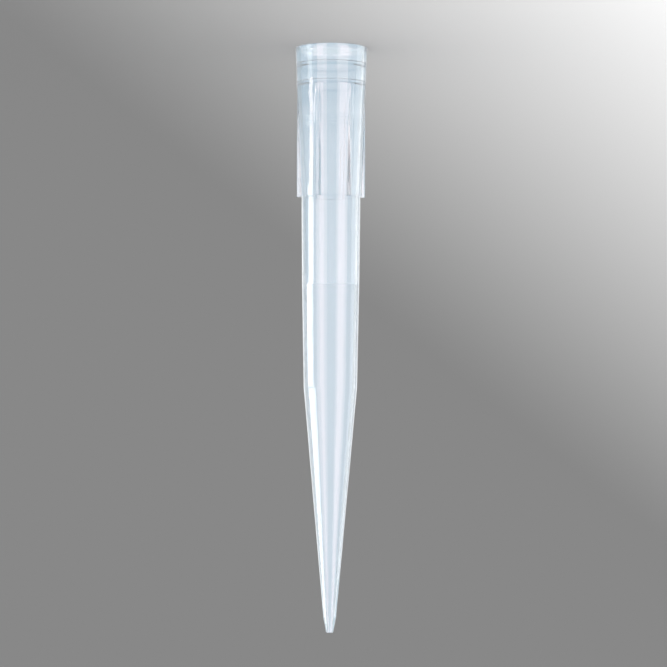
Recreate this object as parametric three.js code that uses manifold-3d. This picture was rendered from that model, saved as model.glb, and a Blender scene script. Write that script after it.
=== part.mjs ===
// A 1000-microlitre pipette tip: one piece, injection-moulded in natural polypropylene.
//
// The tip is drawn about its own axis, with the orifice at z = 0 and the mouth on top, as a
// revolved wall with six straight ribs joined to its collar. It is then turned over to stand on
// its rim, because it rolls when it lies on its side. Millimetres, +Z up.

import * as THREE from 'three';
import { mergeVertices } from 'three/addons/utils/BufferGeometryUtils.js';
import Module from 'manifold-3d';

const wasm = await Module();
wasm.setup();

// Lengths along the axis, from the orifice up to the mouth.
const POINT_LENGTH = 1.8;          // steeper bevel that ends the tip
const CONE_LENGTH = 27.9;          // long dispensing cone
const BARREL_LENGTH = 12.6;        // slightly tapered barrel above the shoulder
const NECK_LENGTH = 10.5;          // straighter neck, up to the collar
const COLLAR_LENGTH = 18.2;        // collar with the ribs, the seat and the lip
const RING_LENGTH = 4.8;           // smooth ring at the top of the collar, where the ribs die out
const LIP_LENGTH = 0.75;           // thickened lip at the mouth

// Bores (diameters of the inside).
const ORIFICE_BORE = 0.48;
const POINT_BORE = 0.66;           // at the top of the bevel
const SHOULDER_BORE = 5.32;
const BARREL_BORE = 5.77;          // at the top of the barrel
const NECK_BORE = 6.14;            // at the top of the neck
const SEAT_BORE = 7.34;            // at the lower end of the seat for the pipette's nose cone
const SEAT_DRAFT_DEG = 1.4;        // half-angle of the seat

// Walls, across the radius.
const ORIFICE_WALL = 0.18;
const POINT_WALL = 0.435;
const SHOULDER_WALL = 0.577;
const BARREL_WALL = 0.59;
const NECK_WALL = 0.5;
const COLLAR_ROOT_WALL = 0.59;     // at the foot of the collar, between the ribs
const COLLAR_WALL = 0.46;          // just under the ring
const RING_WALL = 0.54;
const LIP_WALL = 0.595;

// Small features of the wall.
const BARREL_STEP = 0.1;           // the bore narrows by this much, across the radius, at the barrel
const BARREL_STEP_LENGTH = 0.85;
const RING_FADE_LENGTH = 2.2;      // the wall swells into the ring over this length
const LIP_FLARE_LENGTH = 0.75;     // the ring flares into the lip over this length
const LEAD_IN = 0.16;              // chamfer at the mouth, across the radius
const LEAD_IN_DEPTH = 0.5;
const RIM_ROUND = 0.12;
const SHOULDER_ROUND = 3.0;
const EDGE_ROUND = 0.05;

// Sealing ridges inside the seat.
const SEAL_DEPTHS = [1.91, 4.16];  // upper edge of each ridge below the rim
const SEAL_HEIGHT = 0.58;
const SEAL_CREST_DEPTH = 0.16;     // its crest below its upper edge, which is the steeper side
const SEAL_PROUD = 0.12;

// Ribs of the collar.
const RIB_COUNT = 6;
const RIB_STANDOFF = 0.5;          // how far a rib stands out of the wall at the collar's foot
const RIB_FOOT_WIDTH = 0.58;
const RIB_HEAD_WIDTH = 0.68;
const RIB_EDGE_ROUND = 0.12;

// Fineness of the surface: flats round the axis, a multiple of four and of the ribs.
const FLATS = 72;
const ARC_STEP_DEG = 18;

// Heights of the sections above the orifice.
const pointTop = POINT_LENGTH;
const shoulder = pointTop + CONE_LENGTH;
const barrelTop = shoulder + BARREL_LENGTH;
const collarFoot = barrelTop + NECK_LENGTH;
const rim = collarFoot + COLLAR_LENGTH;
const ringFoot = rim - RING_LENGTH;
const lipFoot = rim - LIP_LENGTH;

/** The radius of the seat's bore at a height, along its draft. */
function seatRadius(height) {
  return SEAT_BORE / 2 + (height - ringFoot) * Math.tan(THREE.MathUtils.degToRad(SEAT_DRAFT_DEG));
}

// Radii of the outside at each height.
const neckRadius = NECK_BORE / 2 + NECK_WALL;
const collarRootRadius = NECK_BORE / 2 + COLLAR_ROOT_WALL;
const ringRadius = SEAT_BORE / 2 + RING_WALL;
const ribRadius = collarRootRadius + RIB_STANDOFF;
const lipRadius = seatRadius(rim) + LIP_WALL;

/**
 * Turns the corners of a closed outline into points. A corner is [radius, height] or
 * [radius, height, round], and a rounded corner becomes an arc of short straight steps.
 * A round is limited to what the two sides that meet there can hold.
 */
function roundedOutline(corners) {
  const points = [];
  corners.forEach(([radius, height, round = 0], index) => {
    const corner = new THREE.Vector2(radius, height);
    if (round === 0) {
      points.push(corner);
      return;
    }
    const before = new THREE.Vector2(...corners.at(index - 1)).sub(corner);
    const after = new THREE.Vector2(...corners[(index + 1) % corners.length]).sub(corner);
    const turn = Math.PI - Math.acos(before.dot(after) / (before.length() * after.length()));
    const longest = 0.45 * Math.min(before.length(), after.length());
    const reach = Math.min(round * Math.tan(turn / 2), longest);
    const start = before.setLength(reach).add(corner);
    const end = after.setLength(reach).add(corner);
    const steps = Math.max(2, Math.ceil(THREE.MathUtils.radToDeg(turn) / ARC_STEP_DEG));
    points.push(...new THREE.QuadraticBezierCurve(start, corner, end).getPoints(steps));
  });
  return points;
}

/** The outside of the wall, from the orifice up to the rim. */
function outsideCorners() {
  const conePointRadius = POINT_BORE / 2 + POINT_WALL;
  const shoulderRadius = SHOULDER_BORE / 2 + SHOULDER_WALL;
  const barrelRadius = BARREL_BORE / 2 + BARREL_WALL;
  const fadeFoot = ringFoot - RING_FADE_LENGTH;
  const fadeShare = (fadeFoot - collarFoot) / (ringFoot - collarFoot);
  const fadeRadius = THREE.MathUtils.lerp(NECK_BORE, SEAT_BORE, fadeShare) / 2 + COLLAR_WALL;
  const flareFoot = lipFoot - LIP_FLARE_LENGTH;
  return [
    [ORIFICE_BORE / 2 + ORIFICE_WALL, 0, EDGE_ROUND],
    [conePointRadius, pointTop],
    [shoulderRadius, shoulder, SHOULDER_ROUND],
    [barrelRadius, barrelTop],
    [neckRadius, collarFoot - EDGE_ROUND],
    [collarRootRadius, collarFoot],
    [fadeRadius, fadeFoot, SHOULDER_ROUND],
    [ringRadius, ringFoot, SHOULDER_ROUND],
    [seatRadius(flareFoot) + RING_WALL, flareFoot],
    [lipRadius - EDGE_ROUND, lipFoot],
    [lipRadius, rim - RIM_ROUND],
    [lipRadius, rim, RIM_ROUND],
  ];
}

/** A sealing ridge: a low rounded swelling of the seat, read from the mouth down. */
function sealCorners(depth) {
  const upper = rim - depth;
  const crest = upper - SEAL_CREST_DEPTH;
  const lower = upper - SEAL_HEIGHT;
  return [
    [seatRadius(upper), upper],
    [seatRadius(crest) - SEAL_PROUD, crest, SEAL_HEIGHT / 4],
    [seatRadius(lower), lower],
  ];
}

/** The inside of the wall, from the rim down to the orifice. */
function insideCorners() {
  const barrelRadius = BARREL_BORE / 2;
  return [
    [seatRadius(rim) + LEAD_IN, rim],
    [seatRadius(rim - LEAD_IN_DEPTH), rim - LEAD_IN_DEPTH],
    ...SEAL_DEPTHS.flatMap(sealCorners),
    [SEAT_BORE / 2, ringFoot, SHOULDER_ROUND],
    [NECK_BORE / 2, collarFoot, SHOULDER_ROUND],
    [barrelRadius + BARREL_STEP, barrelTop],
    [barrelRadius, barrelTop - BARREL_STEP_LENGTH],
    [SHOULDER_BORE / 2, shoulder, SHOULDER_ROUND],
    [POINT_BORE / 2, pointTop],
    [ORIFICE_BORE / 2, 0],
  ];
}

/** Makes a manifold-3d solid of a closed three.js geometry. */
function solidOf(geometry) {
  const bare = geometry.clone();
  bare.deleteAttribute('normal');
  bare.deleteAttribute('uv');
  const welded = mergeVertices(bare, 1e-5);
  return new wasm.Manifold(new wasm.Mesh({
    numProp: 3,
    vertProperties: new Float32Array(welded.attributes.position.array),
    triVerts: new Uint32Array(welded.index.array),
  }));
}

/** Makes a three.js geometry of a manifold-3d solid. */
function geometryOf(solid) {
  const mesh = solid.getMesh();
  const geometry = new THREE.BufferGeometry();
  geometry.setAttribute('position', new THREE.BufferAttribute(mesh.vertProperties, 3));
  geometry.setIndex(new THREE.BufferAttribute(mesh.triVerts, 1));
  return geometry;
}

/** The round wall of the tip: its closed section turned once about the axis. */
function makeWall() {
  const section = roundedOutline([...outsideCorners(), ...insideCorners()]);
  section.push(section[0].clone());
  const halfFlat = Math.PI / FLATS;
  const wall = new THREE.LatheGeometry(section, FLATS, halfFlat, 2 * Math.PI);
  wall.rotateX(Math.PI / 2);
  return solidOf(wall);
}

/**
 * One rib, standing out of the collar towards +X. Its side view runs straight down from the
 * ring at one radius, while the wall behind it draws in, and its width narrows to the foot.
 * Its back edge and its top lie within the wall.
 */
function makeRib() {
  const inset = 0.7 * COLLAR_WALL;
  const sideView = new THREE.Shape([
    new THREE.Vector2(collarRootRadius - inset, collarFoot),
    new THREE.Vector2(ribRadius, collarFoot),
    new THREE.Vector2(ribRadius, ringFoot),
    new THREE.Vector2(ringRadius - inset, ringFoot),
  ]);
  const rib = new THREE.ExtrudeGeometry(sideView, {
    depth: RIB_HEAD_WIDTH - 2 * RIB_EDGE_ROUND,
    bevelThickness: RIB_EDGE_ROUND,
    bevelSize: RIB_EDGE_ROUND,
    bevelOffset: -RIB_EDGE_ROUND,
    bevelSegments: 3,
  });
  rib.translate(0, 0, RIB_EDGE_ROUND - RIB_HEAD_WIDTH / 2);
  rib.rotateX(Math.PI / 2);
  const position = rib.attributes.position;
  for (let index = 0; index < position.count; index += 1) {
    const share = (position.getZ(index) - collarFoot) / (ringFoot - collarFoot);
    const narrowing = THREE.MathUtils.lerp(RIB_FOOT_WIDTH / RIB_HEAD_WIDTH, 1, share);
    position.setY(index, position.getY(index) * narrowing);
  }
  return rib;
}

/** The whole tip, mouth on top: the wall with its ribs, as one solid. */
function makeTip() {
  let tip = makeWall();
  for (let index = 0; index < RIB_COUNT; index += 1) {
    const rib = makeRib().rotateZ((index / RIB_COUNT) * 2 * Math.PI);
    tip = tip.add(solidOf(rib));
  }
  return geometryOf(tip);
}

const polypropylene = new THREE.MeshStandardMaterial({
  name: 'natural_polypropylene',
  color: 0xdce7ee,
  roughness: 0.28,
  metalness: 0,
});

const tip = new THREE.Mesh(makeTip(), polypropylene);
tip.name = 'pipette_tip';

// The tip stands mouth down, with the middle of its mouth at the origin.
const standing = new THREE.Group();
standing.rotation.x = Math.PI;
standing.position.z = rim;
standing.add(tip);

export default standing;
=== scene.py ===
"""A 1000 microlitre pipette tip of natural polypropylene, standing on its rim.

The tip is one injection moulding. It is drawn in millimetres about its own axis, with the orifice
at height 0 and the mouth on top: a ring is drawn up the outside, over the rim and back down the
bore, and the ribs are raised from the collar. The finished shell is then turned over onto its rim,
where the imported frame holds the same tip.
"""

from __future__ import annotations

import logging
import math
from collections.abc import Callable, Sequence
from dataclasses import dataclass, replace
from enum import Enum
from itertools import pairwise

import bmesh
import bpy
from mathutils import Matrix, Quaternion, Vector

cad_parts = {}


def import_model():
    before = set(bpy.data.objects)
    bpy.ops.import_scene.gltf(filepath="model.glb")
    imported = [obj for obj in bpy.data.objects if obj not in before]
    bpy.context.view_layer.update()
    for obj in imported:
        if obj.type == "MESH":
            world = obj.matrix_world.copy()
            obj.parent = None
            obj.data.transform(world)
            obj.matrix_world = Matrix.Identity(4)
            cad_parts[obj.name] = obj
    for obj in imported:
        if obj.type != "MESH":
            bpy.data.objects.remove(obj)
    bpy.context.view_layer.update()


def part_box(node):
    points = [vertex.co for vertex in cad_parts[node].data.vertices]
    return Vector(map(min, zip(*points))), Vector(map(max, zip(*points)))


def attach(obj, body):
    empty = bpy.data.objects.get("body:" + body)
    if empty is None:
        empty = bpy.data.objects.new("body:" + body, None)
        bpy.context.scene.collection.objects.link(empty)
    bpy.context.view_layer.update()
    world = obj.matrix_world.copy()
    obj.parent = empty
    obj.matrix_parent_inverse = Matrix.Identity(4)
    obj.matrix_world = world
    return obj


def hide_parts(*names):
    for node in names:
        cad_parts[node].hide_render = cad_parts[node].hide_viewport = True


LOG = logging.getLogger("pipette_tip")

MM = 0.001  # one millimetre in metres
WELD = 1e-4  # points closer than this, in millimetres, are one
NODE = "pipette_tip"
SLOT = "natural_polypropylene"

# A corner of an outline: its radius and height, and the radius that rounds it.
Corner = tuple[float, float, float]


# ----------------------------------------------------------------------------------------------
# Shared helpers
# ----------------------------------------------------------------------------------------------


def linear_colour(code: int) -> tuple[float, float, float, float]:
    """Turns an sRGB colour into the linear values that the shaders take.

    Args:
        code: The colour as a hex number, 0xRRGGBB.

    Returns:
        Red, green, blue and an alpha of 1.
    """
    channels = [(code >> shift & 0xFF) / 255 for shift in (16, 8, 0)]
    red, green, blue = [
        channel / 12.92 if channel <= 0.04045 else ((channel + 0.055) / 1.055) ** 2.4
        for channel in channels
    ]
    return red, green, blue, 1.0


def white(radiance: float) -> tuple[float, float, float, float]:
    """A white of the given radiance, with an alpha of 1."""
    return radiance, radiance, radiance, 1.0


def add_node(
    tree: bpy.types.NodeTree, kind: str, settings: dict[str, object] | None = None, **inputs: object
) -> bpy.types.Node:
    """Adds a node with its settings, and fills or links its inputs.

    Args:
        tree: The node tree that takes the node.
        kind: The node's type, such as ShaderNodeBsdfPrincipled.
        settings: The node's own properties, by name.
        inputs: What goes into each input, by the input's name in lower case with _ for a space, or
            by _ and its number. An output socket is linked, and anything else is set as the value.

    Returns:
        The new node.
    """
    node = tree.nodes.new(kind)
    for name, value in (settings or {}).items():
        setattr(node, name, value)
    by_name = {socket.name.lower().replace(" ", "_"): socket for socket in node.inputs if socket.enabled}
    for name, value in inputs.items():
        socket = node.inputs[int(name[1:])] if name[0] == "_" else by_name[name]
        if isinstance(value, bpy.types.NodeSocket):
            tree.links.new(value, socket)
        else:
            socket.default_value = value
    return node


def empty_tree(owner: bpy.types.Material | bpy.types.World) -> bpy.types.NodeTree:
    """Turns on the nodes of a material or a world and clears them away.

    Args:
        owner: The material or the world.

    Returns:
        Its node tree.
    """
    owner.use_nodes = True
    owner.node_tree.nodes.clear()
    return owner.node_tree


def share_towards(
    tree: bpy.types.NodeTree,
    direction: bpy.types.NodeSocket,
    pole: Vector,
    start_deg: float,
    end_deg: float,
) -> bpy.types.NodeSocket:
    """Adds the nodes for how far a direction has turned towards a pole.

    Args:
        tree: The node tree that takes the nodes.
        direction: The direction, of length 1.
        pole: The direction that it is measured against, of length 1.
        start_deg: The angle over the pole's equator at which the share is 0.
        end_deg: The angle at which it is 1.

    Returns:
        The socket of the share, from 0 to 1.
    """
    turned = add_node(
        tree, "ShaderNodeVectorMath", {"operation": "DOT_PRODUCT"}, _0=direction, _1=pole
    ).outputs["Value"]
    start, end = math.sin(math.radians(start_deg)), math.sin(math.radians(end_deg))
    return add_node(tree, "ShaderNodeMapRange", value=turned, from_min=start, from_max=end).outputs[0]


def level_direction(turn_deg: float) -> Vector:
    """The level direction at an angle round the tip's axis, from +X."""
    turn = math.radians(turn_deg)
    return Vector((math.cos(turn), math.sin(turn), 0))


def turned_down(level: Vector, slant_deg: float) -> Vector:
    """A level direction, turned down towards the floor by an angle."""
    slant = math.radians(slant_deg)
    return level * math.cos(slant) - Vector((0, 0, math.sin(slant)))


def point_at(level: Vector, distance: float, height: float) -> Vector:
    """The point, in metres, that lies a distance off in a level direction and at a height."""
    return (level * distance + Vector((0, 0, height))) * MM


def deselect_all() -> None:
    """Leaves no object selected, because an operator acts on all that is selected."""
    bpy.ops.object.select_all(action="DESELECT")


def round_corners(
    corners: Sequence[Corner], step_deg: float, side_share: float = 0.45, fewest_steps: int = 3
) -> list[Vector]:
    """Draws the rounds of a closed outline.

    Args:
        corners: The outline's corners in order. A corner whose round is 0 stays sharp.
        step_deg: The largest turn between two points of a round.
        side_share: How much of a side a round takes at most.
        fewest_steps: How many steps the shortest round has.

    Returns:
        The outline's points, each as radius and height.
    """
    points = []
    for index, (radius, height, rounding) in enumerate(corners):
        corner = Vector((radius, height))
        if rounding == 0:
            points.append(corner)
            continue
        before = Vector(corners[index - 1][:2]) - corner
        after = Vector(corners[(index + 1) % len(corners)][:2]) - corner
        turn = math.pi - before.angle(after)
        reach = min(rounding * math.tan(turn / 2), side_share * min(before.length, after.length))
        start, end = corner + reach * before.normalized(), corner + reach * after.normalized()
        steps = max(fewest_steps, math.ceil(math.degrees(turn) / step_deg))
        for step in range(steps + 1):
            share = step / steps
            points.append((1 - share) ** 2 * start + 2 * share * (1 - share) * corner + share**2 * end)
    return points


def split_spans(points: Sequence[Vector], longest: float) -> list[Vector]:
    """Adds points along the long straight spans of a closed outline, which keeps its shading true.

    Args:
        points: The outline's points, each as radius and height.
        longest: The longest span that is left.

    Returns:
        The outline with its long spans divided evenly.
    """
    divided = []
    for point, following in zip(points, [*points[1:], points[0]]):
        count = max(1, math.ceil((following - point).length / longest))
        divided += [point.lerp(following, step / count) for step in range(count)]
    return divided


def draw_ring_on(outline: Sequence[Vector]) -> None:
    """Draws the selected ring of edges on about the axis, through every point of an outline.

    Args:
        outline: The ring's own radius and height, and then those that it is drawn on to.
    """
    for start, end in pairwise(outline):
        bpy.ops.mesh.extrude_edges_move(TRANSFORM_OT_translate={"value": (0, 0, end.y - start.y)})
        scale = end.x / start.x
        bpy.ops.transform.resize(value=(scale, scale, 1), center_override=(0, 0, 0))


# ----------------------------------------------------------------------------------------------
# The tip
# ----------------------------------------------------------------------------------------------


@dataclass(frozen=True)
class Swelling:
    """The section of a low rounded swelling that runs round the wall, in millimetres."""

    height: float  # along the axis, as its flanks
    upper_flank: float  # the flank on the rim's side
    lower_flank: float
    proud: float  # how far its crest stands in towards the axis

    def corners(self, uppers: Sequence[float], radius_at: Callable[[float], float]) -> list[Corner]:
        """Draws the swelling at each of some heights on a face of the wall.

        Args:
            uppers: The heights of its upper edge, from the rim down.
            radius_at: Gives the radius of the wall's face at a height.

        Returns:
            The four corners of each, from the rim down.
        """
        corners = []
        for upper in uppers:
            lower = upper - self.height
            crest, heel = upper - self.upper_flank, lower + self.lower_flank
            corners += [
                (radius_at(upper), upper, self.upper_flank / 2),
                (radius_at(crest) - self.proud, crest, self.upper_flank),
                (radius_at(heel) - self.proud, heel, self.lower_flank),
                (radius_at(lower), lower, self.lower_flank / 2),
            ]
        return corners


@dataclass(frozen=True)
class TipSizes:
    """The driving sizes of the moulding, in millimetres. Bores are diameters, walls are radial."""

    point_length: float = 1.8  # along the axis, as the other lengths
    cone_length: float = 27.9
    barrel_length: float = 12.6
    neck_length: float = 10.5
    collar_length: float = 18.2
    ring_length: float = 4.8  # of the collar's smooth top, where the ribs die out
    lip_length: float = 0.75  # of the ring's thicker end at the mouth

    orifice_bore: float = 0.48
    point_bore: float = 0.66
    shoulder_bore: float = 5.32
    barrel_bore: float = 5.77
    neck_bore: float = 6.14
    seat_bore: float = 7.34  # at the lower end of the seat for the pipette's nose cone
    seat_draft_deg: float = 1.4

    orifice_wall: float = 0.18
    point_wall: float = 0.435
    shoulder_wall: float = 0.577
    barrel_wall: float = 0.59
    neck_wall: float = 0.5
    collar_root_wall: float = 0.59  # at the foot of the collar, between the ribs
    collar_wall: float = 0.46  # just under the ring
    ring_wall: float = 0.54
    lip_wall: float = 0.595

    barrel_step: float = 0.1  # by which the bore narrows, across the radius, at the barrel
    barrel_step_length: float = 0.85
    ring_fade_length: float = 2.2  # over which the wall swells into the ring
    lip_flare_length: float = 0.75  # over which the ring flares into the lip
    lead_in: float = 0.16  # the mouth's chamfer, across the radius
    lead_in_depth: float = 0.5
    rim_round: float = 0.12
    shoulder_round: float = 3.0
    edge_round: float = 0.05

    seal: Swelling = Swelling(height=0.58, upper_flank=0.085, lower_flank=0.24, proud=0.12)
    seal_depths: tuple[float, ...] = (1.91, 4.16)  # of each seal's upper edge below the rim

    # Fine rings on the outside of the collar, so their crests stand out and not in.
    fine_ring: Swelling = Swelling(height=0.24, upper_flank=0.08, lower_flank=0.08, proud=-0.02)
    fine_rings: int = 4
    fine_ring_depth: float = 8.4  # of the first one below the rim
    fine_ring_pitch: float = 0.37

    rib_count: int = 6
    rib_standoff: float = 0.5  # how far a rib stands out of the wall at the collar's foot

    @property
    def shoulder(self) -> float:
        """Height of the shoulder, where the cone ends."""
        return self.point_length + self.cone_length

    @property
    def barrel_top(self) -> float:
        """Height of the top of the barrel."""
        return self.shoulder + self.barrel_length

    @property
    def collar_foot(self) -> float:
        """Height of the foot of the collar, where the ribs end."""
        return self.barrel_top + self.neck_length

    @property
    def rim(self) -> float:
        """Height of the rim, which is the whole length."""
        return self.collar_foot + self.collar_length

    @property
    def ring_foot(self) -> float:
        """Height of the foot of the smooth ring below the rim."""
        return self.rim - self.ring_length

    @property
    def fade_foot(self) -> float:
        """Height from which the wall swells into the ring."""
        return self.ring_foot - self.ring_fade_length

    @property
    def collar_root_radius(self) -> float:
        """Radius of the wall at the foot of the collar, between the ribs."""
        return self.neck_bore / 2 + self.collar_root_wall

    @property
    def rib_radius(self) -> float:
        """Radius of the ribs' outer faces."""
        return self.collar_root_radius + self.rib_standoff

    def seat_radius(self, height: float) -> float:
        """The radius of the seat's bore at a height, along its draft."""
        return self.seat_bore / 2 + (height - self.ring_foot) * math.tan(math.radians(self.seat_draft_deg))

    def bore_radius(self, height: float) -> float:
        """The radius of the bore at a height above the collar's foot, without its seals.

        Args:
            height: The height above the orifice.

        Returns:
            The radius.
        """
        if height >= self.ring_foot:
            return self.seat_radius(height)
        share = (height - self.collar_foot) / (self.ring_foot - self.collar_foot)
        return (self.neck_bore + share * (self.seat_bore - self.neck_bore)) / 2

    def collar_radius(self, height: float) -> float:
        """The radius of the collar's outside below the ring's fade, without its fine rings.

        Args:
            height: The height above the orifice, from the collar's foot up.

        Returns:
            The radius.
        """
        share = (height - self.collar_foot) / (self.fade_foot - self.collar_foot)
        fade_radius = self.bore_radius(self.fade_foot) + self.collar_wall
        return self.collar_root_radius + share * (fade_radius - self.collar_root_radius)


@dataclass
class PipetteTip:
    """The whole tip, moulded in one piece: a revolved wall with six ribs on its collar."""

    sizes: TipSizes = TipSizes()
    spokes: int = 144  # faces round the axis
    rib_reach: int = 2  # faces that a rib takes to either side of its middle
    rib_cuts: int = 6  # into how many each of those is divided
    rib_fullness: tuple[float, float] = (3.0, 1.6)  # how its section falls off: late, then steeply
    arc_step_deg: float = 7.0  # the largest turn between two points of a round
    longest_span: float = 1.2  # along the outline, in millimetres
    smooth_deg: float = 30.0  # the largest angle between faces that are shaded as one

    def outside(self) -> list[Corner]:
        """Draws the outside of the wall.

        Returns:
            Its corners, from the orifice up to the rim.
        """
        sizes = self.sizes
        fine_rings = sizes.fine_ring.corners(
            [
                sizes.rim - (sizes.fine_ring_depth + index * sizes.fine_ring_pitch)
                for index in range(sizes.fine_rings)
            ],
            sizes.collar_radius,
        )
        lip_foot = sizes.rim - sizes.lip_length
        flare_foot = lip_foot - sizes.lip_flare_length
        lip_radius = sizes.seat_radius(sizes.rim) + sizes.lip_wall
        return [
            (sizes.orifice_bore / 2 + sizes.orifice_wall, 0, sizes.edge_round),
            (sizes.point_bore / 2 + sizes.point_wall, sizes.point_length, sizes.edge_round),
            (sizes.shoulder_bore / 2 + sizes.shoulder_wall, sizes.shoulder, sizes.shoulder_round),
            (sizes.barrel_bore / 2 + sizes.barrel_wall, sizes.barrel_top, sizes.shoulder_round),
            (sizes.neck_bore / 2 + sizes.neck_wall, sizes.collar_foot - sizes.edge_round, 0),
            (sizes.collar_root_radius, sizes.collar_foot, 0),
            *reversed(fine_rings),
            (sizes.collar_radius(sizes.fade_foot), sizes.fade_foot, sizes.shoulder_round),
            (sizes.seat_bore / 2 + sizes.ring_wall, sizes.ring_foot, sizes.shoulder_round),
            (sizes.seat_radius(flare_foot) + sizes.ring_wall, flare_foot, sizes.shoulder_round),
            (lip_radius - sizes.edge_round, lip_foot, sizes.shoulder_round),
            (lip_radius, sizes.rim - sizes.rim_round, 0),
            (lip_radius, sizes.rim, sizes.rim_round),
        ]

    def inside(self) -> list[Corner]:
        """Draws the bore.

        Returns:
            Its corners, from the rim down to the orifice.
        """
        sizes = self.sizes
        lead_in_foot = sizes.rim - sizes.lead_in_depth
        step_foot = sizes.barrel_top - sizes.barrel_step_length
        return [
            (sizes.seat_radius(sizes.rim) + sizes.lead_in, sizes.rim, sizes.edge_round),
            (sizes.seat_radius(lead_in_foot), lead_in_foot, sizes.edge_round),
            *sizes.seal.corners([sizes.rim - depth for depth in sizes.seal_depths], sizes.seat_radius),
            (sizes.seat_bore / 2, sizes.ring_foot, sizes.shoulder_round),
            (sizes.neck_bore / 2, sizes.collar_foot, sizes.shoulder_round),
            (sizes.barrel_bore / 2 + sizes.barrel_step, sizes.barrel_top, sizes.shoulder_round),
            (sizes.barrel_bore / 2, step_foot, sizes.shoulder_round),
            (sizes.shoulder_bore / 2, sizes.shoulder, sizes.shoulder_round),
            (sizes.point_bore / 2, sizes.point_length, sizes.edge_round),
            (sizes.orifice_bore / 2, 0, 0),
        ]

    def mould_wall(self) -> bpy.types.Object:
        """Draws a ring along the outline of the wall, and closes it on itself.

        Returns:
            The wall as a closed shell, in edit mode.
        """
        corners = [*self.outside(), *self.inside()]
        outline = split_spans(round_corners(corners, self.arc_step_deg), self.longest_span)
        start = outline[0]
        bpy.ops.mesh.primitive_circle_add(vertices=self.spokes, radius=start.x, enter_editmode=True)
        bpy.ops.transform.translate(value=(0, 0, start.y))
        wall = bpy.context.active_object
        self.divide_rib_edges(wall)
        bpy.ops.mesh.select_all(action="SELECT")
        draw_ring_on([*outline, start])
        bpy.ops.mesh.select_all(action="SELECT")
        bpy.ops.mesh.remove_doubles(threshold=WELD)
        bpy.ops.mesh.normals_make_consistent(inside=False)
        return wall

    def off_rib(self, place: Vector) -> float:
        """Measures how far round the axis a place lies from the middle of the nearest rib.

        Args:
            place: The place.

        Returns:
            The distance, in faces round the axis.
        """
        pitch = 360 / self.sizes.rib_count
        turn = abs((math.degrees(math.atan2(place.y, place.x)) + pitch / 2) % pitch - pitch / 2)
        return turn * self.spokes / 360

    def on_collar(self, place: Vector) -> bool:
        """Tells whether a vertex of the wall can belong to a rib.

        Args:
            place: The vertex.

        Returns:
            Whether it lies on the collar's outside below the ring, and within the ribs' radius.
        """
        sizes = self.sizes
        if not sizes.collar_foot - WELD < place.z < sizes.ring_foot:
            return False
        return sizes.bore_radius(place.z) + sizes.collar_wall / 2 < place.xy.length < sizes.rib_radius

    def divide_rib_edges(self, ring: bpy.types.Object) -> None:
        """Divides the ring's edges that become the ribs, so that the ribs can be round.

        Args:
            ring: The first ring of the wall, in edit mode.
        """
        bpy.ops.mesh.select_mode(type="EDGE")
        bpy.ops.mesh.select_all(action="DESELECT")
        mesh = bmesh.from_edit_mesh(ring.data)
        for edge in mesh.edges:
            middle = (edge.verts[0].co + edge.verts[1].co) / 2
            edge.select_set(self.off_rib(middle) < self.rib_reach)
        bpy.ops.mesh.subdivide(number_cuts=self.rib_cuts - 1)

    def raise_ribs(self, tip: bpy.types.Object) -> None:
        """Raises the ribs from the collar up to one radius, with a crowned face that runs into the wall.

        Args:
            tip: The wall, in edit mode.
        """
        group = tip.vertex_groups.new(name="ribs")
        bpy.ops.mesh.select_mode(type="VERT")
        late, steep = self.rib_fullness
        steps = self.rib_reach * self.rib_cuts
        # Each row of vertices off the ribs' middle gets the share by which it is drawn out.
        for step in range(steps):
            bpy.ops.mesh.select_all(action="DESELECT")
            mesh = bmesh.from_edit_mesh(tip.data)
            for vertex in mesh.verts:
                place = vertex.co
                on_row = self.on_collar(place) and round(self.off_rib(place) * self.rib_cuts) == step
                vertex.select_set(on_row)
            mesh.select_flush_mode()
            bpy.context.scene.tool_settings.vertex_group_weight = (1 - (step / steps) ** late) ** steep
            bpy.ops.object.vertex_group_assign()
        bpy.ops.object.mode_set(mode="OBJECT")
        raised = tip.modifiers.new("raise ribs", "CAST")
        raised.cast_type = "CYLINDER"
        raised.use_radius_as_size = False
        raised.factor, raised.size = 1.0, self.sizes.rib_radius
        raised.vertex_group = group.name
        bpy.ops.object.modifier_apply(modifier=raised.name)
        tip.vertex_groups.clear()
        bpy.ops.object.mode_set(mode="EDIT")

    @staticmethod
    def select_faces(piece: bpy.types.Object, wanted: Callable[[Vector, Vector], bool]) -> None:
        """Selects faces by their place and normal, and nothing else.

        Args:
            piece: The object, in edit mode.
            wanted: Says of a face's middle and its normal whether it is wanted.
        """
        bpy.ops.mesh.select_mode(type="FACE")
        bpy.ops.mesh.select_all(action="DESELECT")
        mesh = bmesh.from_edit_mesh(piece.data)
        for face in mesh.faces:
            face.select_set(wanted(face.calc_center_median(), face.normal))
        bmesh.update_edit_mesh(piece.data)

    def finish_faces(self, tip: bpy.types.Object) -> None:
        """Gives every face the mirror polish but the bore of the barrel and the cone, which is satin.

        Args:
            tip: The tip, in edit mode.
        """
        step_middle = self.sizes.barrel_top - self.sizes.barrel_step_length / 2
        for polish in Polish:
            tip.data.materials.append(NaturalPolypropylene(polish).make())
        self.select_faces(tip, lambda place, normal: place.z < step_middle and normal.xy.dot(place.xy) < 0)
        tip.active_material_index = list(Polish).index(Polish.SATIN)
        bpy.ops.object.material_slot_assign()

    def stand_on_rim(self, tip: bpy.types.Object) -> None:
        """Turns the finished tip over onto its rim, where the frame holds it, and applies its place.

        Args:
            tip: The tip, in millimetres about its own axis.
        """
        low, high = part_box(NODE)
        tip.rotation_euler = (math.pi, 0, 0)
        tip.scale = (MM, MM, MM)
        tip.location = ((low[0] + high[0]) / 2, (low[1] + high[1]) / 2, low[2] + self.sizes.rim * MM)
        bpy.ops.object.transform_apply(location=True, rotation=True, scale=True)

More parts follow.
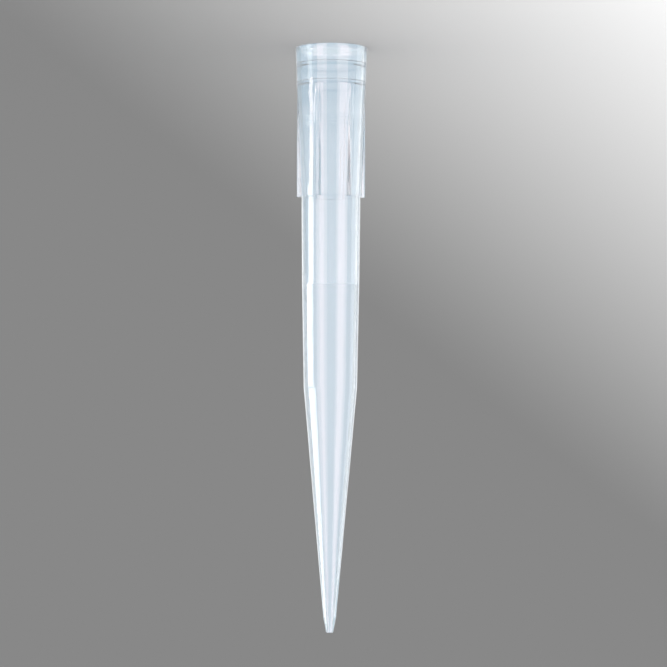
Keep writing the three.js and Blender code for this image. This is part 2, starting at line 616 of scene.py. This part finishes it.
    def build(self) -> bpy.types.Object:
        """Builds the tip as one closed shell in its place.

        Returns:
            The finished object, at the origin with its place in its mesh.
        """
        deselect_all()
        tip = self.mould_wall()
        self.raise_ribs(tip)
        self.finish_faces(tip)
        bpy.ops.object.mode_set(mode="OBJECT")
        self.stand_on_rim(tip)
        bpy.ops.object.shade_smooth_by_angle(angle=math.radians(self.smooth_deg))
        tip.name = tip.data.name = "moulded_tip"
        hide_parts(NODE)
        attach(tip, "root")
        return tip


# ----------------------------------------------------------------------------------------------
# Finishes
# ----------------------------------------------------------------------------------------------


class Polish(Enum):
    """The polish of the steel that a face was moulded against, as the roughness that it leaves."""

    MIRROR = 0.03
    SATIN = 0.3


@dataclass(frozen=True)
class NaturalPolypropylene:
    """Uncoloured polypropylene, injection moulded against polished steel.

    The plastic is partly crystalline, so a thin wall lets light through and scatters some of it:
    the eye sees a faintly blue, milky wall with sharp highlights from the polished mould.
    """

    polish: Polish
    colour: int = 0xEBF3F9
    ior: float = 1.49
    clarity: float = 0.81  # share of the light that passes on without being scattered
    flow_width: float = 0.35  # spacing of the flow lines round the wall, in millimetres
    flow_length: float = 40.0  # their length along the axis, in millimetres
    flow_height: float = 0.0006  # in millimetres

    def make(self) -> bpy.types.Material:
        """Makes the material.

        Returns:
            The material.
        """
        material = bpy.data.materials.new(f"{SLOT}_{self.polish.name.lower()}")
        tree = empty_tree(material)
        place = add_node(tree, "ShaderNodeTexCoord").outputs["Object"]
        across, along = 1 / (self.flow_width * MM), 1 / (self.flow_length * MM)
        flow_place = add_node(tree, "ShaderNodeMapping", vector=place, scale=(across, across, along))
        flow = add_node(
            tree, "ShaderNodeTexNoise", vector=flow_place.outputs[0], scale=1.0, detail=2.0, roughness=0.5
        )
        bump = add_node(
            tree, "ShaderNodeBump", strength=1.0, distance=self.flow_height * MM, height=flow.outputs[0]
        )
        shader = add_node(
            tree,
            "ShaderNodeBsdfPrincipled",
            base_color=linear_colour(self.colour),
            roughness=self.polish.value,
            ior=self.ior,
            transmission_weight=self.clarity,
            normal=bump.outputs[0],
        )
        add_node(tree, "ShaderNodeOutputMaterial", surface=shader.outputs[0])
        return material


@dataclass(frozen=True)
class StudioPaper:
    """Matt background paper with a painted pool of light: its colour rises across the beam that a lamp
    beside the camera would throw, though no such lamp is there.

    The painted beam's edge runs aslant: the tone rises to one side and towards the floor. Beside the
    camera and behind it the paper is painted light throughout.
    """

    # Where the painted beam comes from, in metres.
    painted_beam_origin: Vector  # in metres
    behind: Vector  # level direction against the beam
    across: Vector  # level direction in which the tone rises
    # The painted light where the beam falls, and the painted shade outside it.
    painted_light_tone: int = 0xFFFFFF
    painted_shade_tone: int = 0x888888
    slant_deg: float = 51.6  # of the rise from the level
    rise_deg: tuple[float, float] = (2.05, 13.3)  # where the rise starts and ends, off the beam's middle
    steepness: float = 1.3  # over 1, the rise starts gently
    behind_deg: tuple[float, float] = (-60.0, -30.0)  # where it turns light, from square to the beam

    def make(self) -> bpy.types.Material:
        """Makes the material, whose painted light follows the room and not the camera.

        Returns:
            The material.
        """
        material = bpy.data.materials.new("studio_paper")
        tree = empty_tree(material)
        place = add_node(tree, "ShaderNodeTexCoord").outputs["Object"]
        ray = add_node(
            tree, "ShaderNodeVectorMath", {"operation": "SUBTRACT"}, _0=place, _1=self.painted_beam_origin
        ).outputs[0]
        direction = add_node(tree, "ShaderNodeVectorMath", {"operation": "NORMALIZE"}, _0=ray).outputs[0]
        rise = turned_down(self.across, self.slant_deg)
        risen = share_towards(tree, direction, rise, *self.rise_deg)
        ahead = add_node(
            tree, "ShaderNodeMath", {"operation": "POWER"}, _0=risen, _1=self.steepness
        ).outputs[0]
        beside = share_towards(tree, direction, self.behind, *self.behind_deg)
        lit = add_node(tree, "ShaderNodeMath", {"operation": "MAXIMUM"}, _0=ahead, _1=beside).outputs[0]
        # Painted light: the paper's colour runs from the painted shade to the painted light across the
        # beam.
        colour = add_node(
            tree,
            "ShaderNodeMix",
            {"data_type": "RGBA"},
            _0=lit,
            _6=linear_colour(self.painted_shade_tone),
            _7=linear_colour(self.painted_light_tone),
        ).outputs[2]
        shader = add_node(tree, "ShaderNodeBsdfDiffuse", color=colour)
        add_node(tree, "ShaderNodeOutputMaterial", surface=shader.outputs[0])
        return material


# ----------------------------------------------------------------------------------------------
# Light
# ----------------------------------------------------------------------------------------------


@dataclass(frozen=True)
class Surround:
    """The white surround that lights the tip, with tones of its own where the tip shows it.

    Clear plastic looks like what it mirrors and what shows through it, so both have their own tone.
    What the plastic and the paper scatter is lit by the plain white.
    """

    right: Vector  # level direction to the right of the view
    lighting: float = 1.0  # radiance of the white that lights the tip
    mirrored: float = 0.6  # radiance where it is mirrored
    level: float = 1.1  # radiance seen through the wall, level with the tip
    low_left: int = 0x98B8C6  # colour seen through the wall, low down to the left
    low_left_slant_deg: float = 75.0  # of that direction from the level
    low_left_deg: tuple[float, float] = (9.0, 14.5)  # where the colour starts to turn, and has turned
    far: int = 0xA8C4D0  # colour seen through the wall, well above or below it
    far_deg: float = 18.0  # how far up or down that is

    def make(self) -> bpy.types.World:
        """Makes the world.

        Returns:
            The world.
        """
        world = bpy.data.worlds.new("surround")
        tree = empty_tree(world)
        ray = add_node(tree, "ShaderNodeLightPath").outputs
        direction = add_node(tree, "ShaderNodeTexCoord").outputs["Generated"]
        low_left = turned_down(-self.right, self.low_left_slant_deg)
        towards_low_left = share_towards(tree, direction, low_left, *self.low_left_deg)
        rise = add_node(tree, "ShaderNodeSeparateXYZ", vector=direction).outputs["Z"]
        steepness = add_node(tree, "ShaderNodeMath", {"operation": "ABSOLUTE"}, _0=rise).outputs[0]
        off_level = add_node(
            tree,
            "ShaderNodeMapRange",
            {"interpolation_type": "SMOOTHSTEP"},
            value=steepness,
            from_min=0.0,
            from_max=math.sin(math.radians(self.far_deg)),
        ).outputs[0]
        # Each tone lies over the ones before it, by its share.
        seen_through = white(self.level)
        for share, tone in (
            (towards_low_left, linear_colour(self.low_left)),
            (off_level, linear_colour(self.far)),
        ):
            seen_through = add_node(
                tree, "ShaderNodeMix", {"data_type": "RGBA"}, _0=share, _6=seen_through, _7=tone
            ).outputs[2]
        scattered = add_node(
            tree, "ShaderNodeMath", {"operation": "MINIMUM"}, _0=ray["Diffuse Depth"], _1=1.0
        ).outputs[0]
        # A ray bent through the wall also counts as a glossy one, so what it meets lies over that.
        colour = white(self.lighting)
        for share, tone in (
            (ray["Is Glossy Ray"], white(self.mirrored)),
            (ray["Is Transmission Ray"], seen_through),
            (scattered, white(self.lighting)),
        ):
            colour = add_node(
                tree, "ShaderNodeMix", {"data_type": "RGBA"}, _0=share, _6=colour, _7=tone
            ).outputs[2]
        background = add_node(tree, "ShaderNodeBackground", color=colour)
        add_node(tree, "ShaderNodeOutputWorld", surface=background.outputs[0])
        return world


class Reach(Enum):
    """Which faces of the tip mirror a lamp. No lamp lights what the plastic scatters."""

    BOTH_SIDES = "the outside and, through the wall, the bore"
    OUTSIDE = "the outside alone"


@dataclass(frozen=True)
class StripLight:
    """A soft box that stands upright beside the tip and faces it. Lengths are in millimetres."""

    name: str
    azimuth_deg: float  # from the camera's side of the tip, positive to the right of the view
    width_deg: float  # how much of the tip's surroundings it takes
    radiance: float
    reach: Reach = Reach.OUTSIDE
    colour: int = 0xFFFFFF
    distance: float = 220.0
    height: float = 700.0
    middle: float = 40.0  # height of its middle above the floor

    def place(self, facing_deg: float) -> bpy.types.Object:
        """Makes the lamp.

        Args:
            facing_deg: The direction of the camera round the tip's axis.

        Returns:
            The lamp's object.
        """
        width = 2 * self.distance * math.tan(math.radians(self.width_deg / 2)) * MM
        height = self.height * MM
        lamp = bpy.data.lights.new(self.name, "AREA")
        lamp.shape = "RECTANGLE"
        lamp.size, lamp.size_y = width, height
        lamp.energy = self.radiance * math.pi * width * height  # what a flat, evenly bright face gives off
        lamp.color = linear_colour(self.colour)[:3]
        piece = bpy.data.objects.new(self.name, lamp)
        bpy.context.scene.collection.objects.link(piece)
        outward = level_direction(facing_deg - self.azimuth_deg)
        piece.location = point_at(outward, self.distance, self.middle)
        piece.rotation_euler = outward.to_track_quat("Z", "Y").to_euler()
        piece.visible_camera = False
        piece.visible_diffuse = False
        piece.visible_transmission = self.reach is Reach.BOTH_SIDES
        return piece


@dataclass(frozen=True)
class NearStrip(StripLight):
    """A short strip close to the tip, which makes the highlight of one stretch of it."""

    radiance: float = 9.0
    distance: float = 60.0


def stack_strips(
    top: StripLight, count: int, turn_deg: float, narrowing_deg: float, drop: float
) -> list[StripLight]:
    """Stands strips one below the other, each a little further round, so that the highlight leans.

    Args:
        top: The uppermost strip.
        count: How many strips there are.
        turn_deg: How much further to the right each one stands than the one above.
        narrowing_deg: How much narrower it is.
        drop: How much lower it is, in millimetres.

    Returns:
        The strips, each named after the uppermost one with its number.
    """
    return [
        replace(
            top,
            name=f"{top.name}_{step}",
            azimuth_deg=top.azimuth_deg + turn_deg * step,
            width_deg=top.width_deg - narrowing_deg * step,
            middle=top.middle - drop * step,
        )
        for step in range(count)
    ]


# ----------------------------------------------------------------------------------------------
# Studio
# ----------------------------------------------------------------------------------------------


@dataclass(frozen=True)
class Studio:
    """The floor, the light and the camera. The tip is seen mouth up, so the camera is rolled.

    Lengths are in millimetres, and heights are from the floor.
    """

    camera_distance: float = 265.0
    camera_height: float = 40.0
    aim_height: float = 34.78
    aim_aside: float = 0.36  # to the right of the view
    camera_turn_deg: float = 6.3  # from the middle between two ribs
    lean_deg: float = 0.17  # of the roll, past half a turn
    view_width: float = 81.03  # at the tip's axis
    view_depth: tuple[float, float] = (10.0, 10000.0)  # nearest and farthest that the camera sees
    sensor: float = 36.0

    floor_radius: float = 500.0
    floor_sides: int = 96
    cove_radius: float = 400.0
    cove_steps: int = 12
    wall_height: float = 900.0

    strips: tuple[StripLight, ...] = (
        # The long highlight on the left, in a stretch for each part of the tip.
        NearStrip(
            "ring_strip", azimuth_deg=-73, width_deg=17, radiance=3, height=11, middle=-6.5,
            reach=Reach.BOTH_SIDES,
        ),
        *stack_strips(
            NearStrip(
                "collar_strip", azimuth_deg=-77.5, width_deg=20, height=3.2, middle=12.75, colour=0xFFEEEC
            ),
            count=5, turn_deg=2.5, narrowing_deg=2, drop=3.1,
        ),
        NearStrip("neck_strip", azimuth_deg=-84, width_deg=27, height=13.2, middle=20.95),
        NearStrip("barrel_strip", azimuth_deg=-93, width_deg=36, height=18, middle=36.5),
        NearStrip("cone_strip", azimuth_deg=-87, width_deg=42, height=47, middle=71.5),
        # The broad, faintly rosy bands to the left and the right of the middle.
        StripLight(
            "left_window", azimuth_deg=-43, width_deg=32, radiance=2.9, height=400, middle=188,
            colour=0xFFDAD4,
        ),
        StripLight("left_window_fade", azimuth_deg=-30, width_deg=30, radiance=2.6, colour=0xFFDAD4),
        StripLight(
            "right_window", azimuth_deg=48, width_deg=38, radiance=3.3, height=400, middle=188,
            colour=0xFFE0DC,
        ),
        StripLight("right_window_fade", azimuth_deg=38, width_deg=36, radiance=2.8, colour=0xFFE0DC),
        # The band near the right side, and the thin lines along both outlines.
        StripLight("side_window", azimuth_deg=111, width_deg=42, radiance=1.9),
        StripLight("left_rim_light", azimuth_deg=-160, width_deg=34, radiance=0.8, height=240, middle=121),
        StripLight("right_rim_light", azimuth_deg=160, width_deg=34, radiance=0.6, height=240, middle=121),
    )

    @property
    def facing_deg(self) -> float:
        """The direction from the tip to the camera, round the axis from +X. The front faces -Y."""
        return -90 + self.camera_turn_deg

    @property
    def outward(self) -> Vector:
        """The level direction from the tip to the camera."""
        return level_direction(self.facing_deg)

    @property
    def right(self) -> Vector:
        """The level direction to the right of the rolled view."""
        return Vector((self.outward.y, -self.outward.x, 0))

    @property
    def camera_place(self) -> Vector:
        """Where the camera stands, in metres."""
        return point_at(self.outward, self.camera_distance, self.camera_height)

    def aim_camera(self) -> None:
        """Stands the camera off the tip and rolls it, so that the mouth comes out on top."""
        scene = bpy.context.scene
        lens = bpy.data.cameras.new("camera")
        lens.sensor_width = self.sensor
        lens.lens = self.sensor * self.camera_distance / self.view_width
        lens.clip_start, lens.clip_end = [depth * MM for depth in self.view_depth]
        camera = bpy.data.objects.new("camera", lens)
        scene.collection.objects.link(camera)
        camera.location = self.camera_place
        target = point_at(self.right, self.aim_aside, self.aim_height)
        upright = (target - self.camera_place).to_track_quat("-Z", "Y")
        camera.rotation_mode = "QUATERNION"
        camera.rotation_quaternion = upright @ Quaternion((0, 0, 1), math.radians(180 + self.lean_deg))
        scene.camera = camera

    def lay_floor(self) -> None:
        """Lays the paper as a floor that sweeps up into a wall all round."""
        deselect_all()
        bpy.ops.mesh.primitive_circle_add(
            vertices=self.floor_sides, radius=self.floor_radius * MM, fill_type="NGON", enter_editmode=True
        )
        floor = bpy.context.active_object
        bpy.ops.mesh.select_all(action="SELECT")
        bpy.ops.mesh.region_to_loop()
        outline = []
        for step in range(self.cove_steps + 1):
            angle = step / self.cove_steps * math.pi / 2
            radius = self.floor_radius + self.cove_radius * math.sin(angle)
            outline.append(Vector((radius, self.cove_radius * (1 - math.cos(angle)))))
        outline.append(Vector((outline[-1].x, self.wall_height)))
        draw_ring_on([point * MM for point in outline])
        bpy.ops.object.mode_set(mode="OBJECT")
        bpy.ops.object.shade_smooth()
        floor.name = floor.data.name = "studio_floor"
        # The paper's painted beam is thrown from the camera's place.
        floor.data.materials.append(StudioPaper(self.camera_place, self.outward, self.right).make())
        # Only the camera sees the paper, so it darkens nothing that the tip mirrors or lets through.
        floor.visible_diffuse = False
        floor.visible_glossy = False
        floor.visible_transmission = False
        floor.visible_shadow = False

    def light(self) -> None:
        """Lights the tip by a white surround and by the strips that it mirrors."""
        bpy.context.scene.world = Surround(self.right).make()
        for strip in self.strips:
            strip.place(self.facing_deg)

    def build(self) -> None:
        """Builds the camera, the floor and the light."""
        self.aim_camera()
        self.lay_floor()
        self.light()
        bpy.context.scene.view_settings.view_transform = "Standard"


def main() -> None:
    """Builds the studio and the tip."""
    logging.basicConfig(level=logging.INFO, format="%(name)s: %(message)s")
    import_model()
    Studio().build()
    tip = PipetteTip()
    piece = tip.build()
    LOG.info("%s has %d faces", piece.name, len(piece.data.polygons))


if __name__ == "__main__":
    main()
